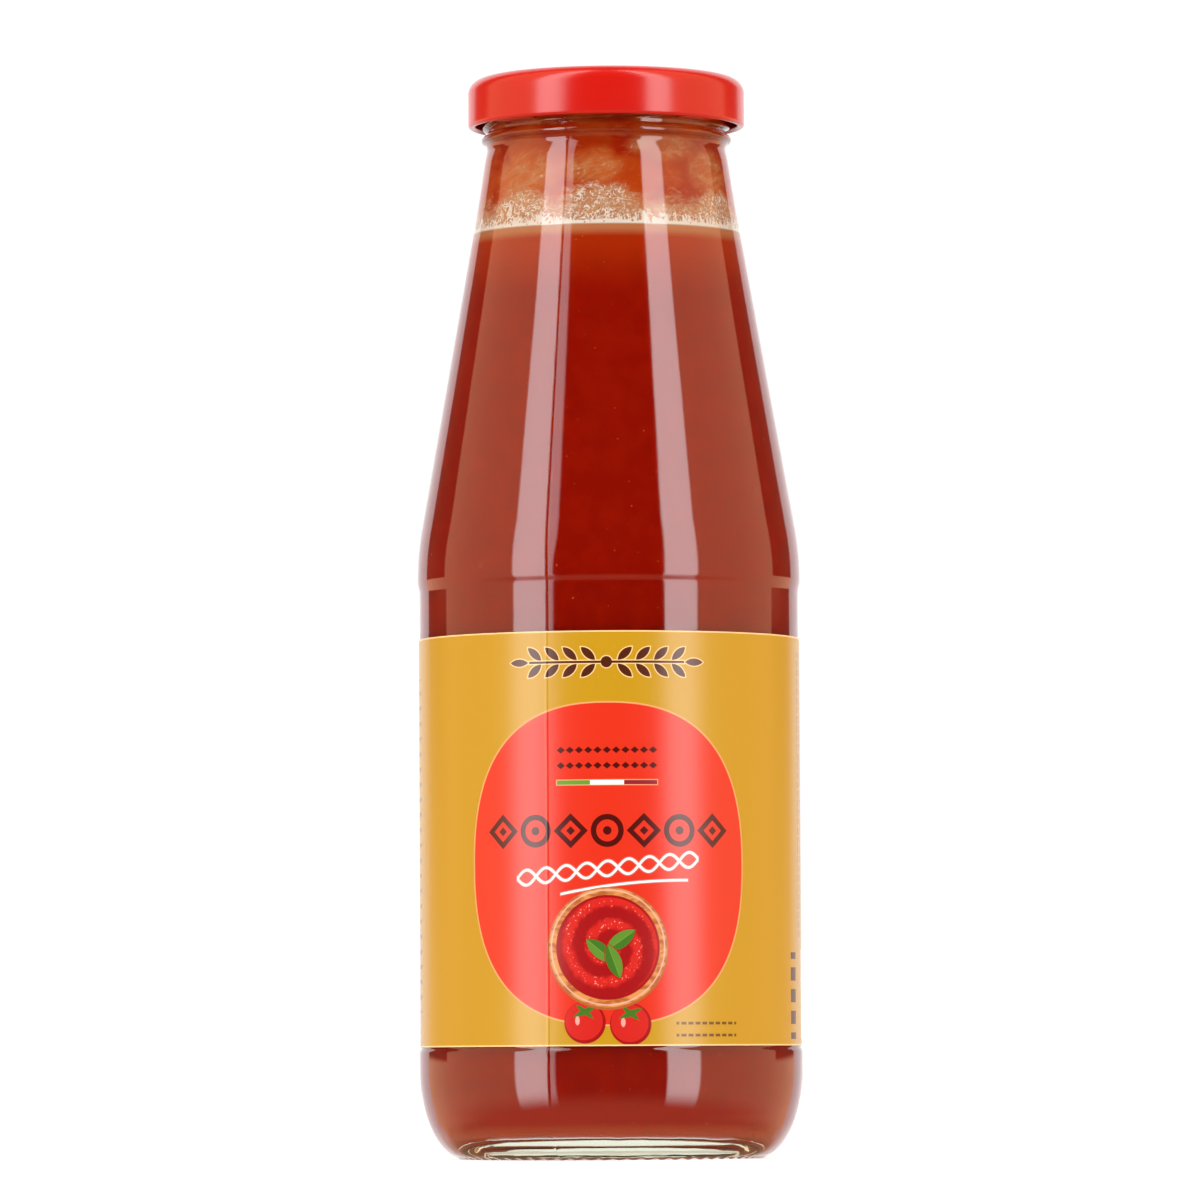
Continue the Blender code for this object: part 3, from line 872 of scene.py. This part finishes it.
def printSprig(sheet):
    # a leafy twig over the field, the same to the left and right
    d = design
    u, v = abs(sheet.u), sheet.v - d["sprigHeight"]
    pitch, count = d["sprigPitch"], d["sprigPairs"]
    along, across = turned((u - pitch).repeat(pitch), abs(v) - d["leafAside"], d["leafTilt"])
    leaves = leafGap(along, across, *d["leafHalf"])
    leaves = leaves.larger(abs(u - pitch * (count + 1) / 2) - pitch * count / 2)
    tip = leafGap(u - d["tipAt"], v, *d["tipHalf"])
    stem = boxGap(u, v, *d["stemHalf"])
    berry = discGap(u, v, d["berry"])
    whole = leaves.smaller(tip).smaller(stem).smaller(berry)
    sheet.paint(whole, "edge", 0.2)
    sheet.paint(whole, "brown")


def printRows(sheet):
    # two lines of small lozenges, a three-coloured bar and a row of rings and diamonds
    d = design
    u, v = sheet.u, sheet.v
    small = d["lozengePitch"]
    lozenge = diamondGap(u.repeat(small) * 0.8, abs(v - d["lozengeHeight"]) - d["lozengeAside"],
                         d["lozengeReach"])
    sheet.paint(lozenge.larger(abs(u) - d["lozenges"] / 2 * small), "maroon")
    bar, third = boxGap(u, v - d["barHeight"], *d["barHalf"]), d["barThird"]
    sheet.paint(bar, "outline", 0.15)
    sheet.paint(bar, "white")
    sheet.paint(bar.larger(u + third), "green")
    sheet.paint(bar.larger(third - u), "darkRed")
    pitch, height = d["rowPitch"], v - d["rowHeight"]
    rings = u.repeat(2 * pitch)
    gems = (u - pitch).repeat(2 * pitch)
    row = lineGap(discGap(rings, height, d["ringRadius"]), d["ringLine"])
    row = row.smaller(discGap(rings, height, d["ringDot"]))
    row = row.smaller(lineGap(diamondGap(gems, height, d["gemReach"]), d["gemLine"]))
    row = row.smaller(diamondGap(gems, height, d["gemDot"]))
    sheet.paint(row.larger(abs(u) - d["rowCount"] / 2 * pitch), "maroon")


def printBraid(sheet):
    # two crossing waves that climb to the right, over a long stroke
    d = design
    u, v = sheet.u, sheet.v
    half, waves, reach = d["braidHalf"], d["braidWaves"], d["braidSwing"]
    rate = waves * math.pi / (2 * half)
    height = v - d["braidHeight"] - u * d["braidClimb"]
    turn = u * rate + math.pi / 2 * (waves % 2)
    swing = turn.sine() * reach
    lean = (turn.cosine() * (reach * rate)) ** 2
    braid = abs(abs(height) - abs(swing)) / (lean + 1).root() - 0.22
    braid = braid.larger(abs(u) - half)
    under = abs(height + d["strokeDrop"] + (u - 4) * (u - 4) * 0.004) - 0.2
    both = braid.smaller(under.larger(abs(u - d["strokeMiddle"]) - d["strokeHalf"]))
    sheet.paint(both, "grey", 0.16, 0.8)
    sheet.paint(both, "white")


def printBowl(sheet):
    # a wooden bowl of sauce seen from above, with basil and two tomatoes
    d = design
    u, v = sheet.u, sheet.v - d["bowlHeight"]
    finish = sheet.finish
    for side, height in d["tomatoes"]:
        du, dv = u - side, v - height
        sheet.paint(discGap(du, dv, d["tomatoRadius"]), "sauceDark")
        sheet.paint(discGap(du + 0.2, dv - 0.25, d["tomatoRadius"] - 0.4), "sauceLight", 0.0, 0.9)
        star = leafGap(*turned(du, dv - 2.2, 24), 2.6, 0.55)
        star = star.smaller(leafGap(*turned(du, dv - 2.2, -38), 2.3, 0.5))
        sheet.paint(star, "leaf")
        sheet.paint(ovalGap(du + 1.5, dv - 0.4, 0.45, 0.9), "shine", 0.0, 0.7)
    grain = finish.noise(0.9, 3.0, stretch=(0.3, 1.0, 1.0)).step(0.40, 0.62)
    sheet.paint(discGap(u, v + 0.2, d["bowlRadius"] + 0.3), "woodDark")
    sheet.paint(discGap(u, v, d["bowlRadius"]), finish.mix(grain, ink["wood"], ink["woodDark"]))
    sheet.paint(lineGap(discGap(u, v, d["bowlLip"]), 0.3), "shine", 0.0, 0.6)
    sheet.paint(discGap(u, v, d["bowlInside"]), "sauceDark")
    spin = u.do("ARCTAN2", v, u)
    swirl = (spin + discGap(u, v, 0.0) * 1.35).sine() * 0.5 + finish.noise(0.8, 3.0)
    puree = finish.mix(swirl.step(0.25, 0.95), ink["sauceDark"], ink["sauceLight"])
    sheet.paint(discGap(u, v, d["pureeRadius"]), puree)
    specks = finish.noise(2.2, 2.0).step(0.64, 0.70) * swirl.step(0.5, 1.0)
    sheet.paint(discGap(u, v, d["pureeRadius"] - 0.5), "shine", 0.0, specks * 0.8)
    for side, height, tilt in d["basil"]:
        along, across = turned(u - side, v - height, tilt)
        leaf = leafGap(along, across, *d["basilHalf"])
        sheet.paint(leaf, "sauceDark", 0.3, 0.6)
        sheet.paint(leaf, "leaf")
        sheet.paint(leaf.larger(-across), "leafLight", 0.0, 0.6)
        sheet.paint(lineGap(across, 0.16).larger(leaf + 0.3), "leafLight")


def dashes(u, v, length, gap, thick):
    return boxGap(u.repeat(length + gap), v, length / 2, thick / 2)


def printSmallRows(sheet):
    # short rules beside the bowl, and rows of dashes on both sides of the label
    d = design
    u, v = sheet.u, sheet.v
    low = dashes(u, abs(v - 26.2) - 1.2, 1.1, 0.45, 0.55)
    sheet.paint(low.larger(abs(u - 20.9) - 7.0), "brown", 0.0, 0.85)
    along, up = d["markAt"]
    mark = boxGap(u - along, (v - up).repeat(d["markPitch"]), *d["markHalf"])
    sheet.paint(mark.larger(abs(v - up) - d["markPitch"] * 2), "brown")
    column = dashes(v, (u - 56.5).repeat(2.3), 1.4, 0.5, 0.6).larger(abs(u - 55.4) - 2.2)
    sheet.paint(column.larger(abs(v - 74.0) - 29.0), "brown", 0.0, 0.8)
    along, up = d["panelAt"]
    sheet.paint(boxGap(u - along, v - up, *d["panelHalf"]), "white")
    stripes = dashes(u, v - up, 0.5, 0.7, 13.0).larger(abs(u - along) - 14.0)
    sheet.paint(stripes, "maroon")
    along, up = d["tableAt"]
    table, row = boxGap(u - along, v - up, *d["tableHalf"]), d["tableRow"]
    sheet.paint(lineGap(table, 0.35), "brown")
    lines = lineGap((v - up).repeat(row), 0.22)
    sheet.paint(lines.larger(table), "brown")
    cells = dashes(u, (v - (up + row / 2)).repeat(row), 1.5, 0.6, 0.9).larger(abs(u - 75.0) - 11.0)
    sheet.paint(cells.larger(table + 2.0), "brown", 0.0, 0.8)
    other = dashes(u, (v - 30.0).repeat(3.1), 1.3, 0.5, 0.9)
    other = other.larger(abs(u + 79.0) - 25.0).larger(abs(v - 64.0) - 34.0)
    sheet.paint(other, "brown", 0.0, 0.8)


def labelFinish():
    printed = Finish("printedPaper")
    sheet = Sheet(printed)
    printField(sheet)
    printSprig(sheet)
    printRows(sheet)
    printBraid(sheet)
    printBowl(sheet)
    printSmallRows(sheet)
    middle, half = (label["bottom"] + label["top"]) / 2, (label["top"] - label["bottom"]) / 2
    sheet.paint(half - 0.28 - abs(sheet.v - middle), "edge")
    fibre = printed.noise(1.6, 3.0)
    crease = abs(sheet.u - label["creaseAt"]).step(label["creaseWidth"], 0.0)
    slots = {
        "Base Color": sheet.colour, "Roughness": 0.27, "Specular IOR Level": 0.45,
        "Normal": printed.bump(crease, 0.05, printed.bump(fibre, 0.006)),
    }
    return printed.end(printed.surface(slots))


def makeLabel(material):
    # starts at the back, goes once round and ends on top of its own start
    n = label
    data = bmesh.new()
    outer, inner = n["radius"], n["radius"] - n["paper"]
    start = Matrix.Rotation(math.pi / 2, 3, "Z")
    corners = [(outer, n["top"]), (outer, n["bottom"]), (inner, n["bottom"]), (inner, n["top"])]
    whole = 360 + n["lapSweep"]
    sweepFace(data, [start @ point3(*corner) for corner in corners], whole, n["steps"])
    for index, vert in enumerate(data.verts):
        swept = whole * (index // len(corners)) / n["steps"]
        share = min(1.0, max(0.0, (swept - 360) / n["lapRamp"] + 1))
        flat = Vector((vert.co.x, vert.co.y, 0.0)).normalized()
        vert.co += flat * (n["lapRise"] * mm * share * share * (3 - 2 * share))
    return finishPiece("paperLabel", data, material, ["label"], sharp=50)


makeLabel(labelFinish())
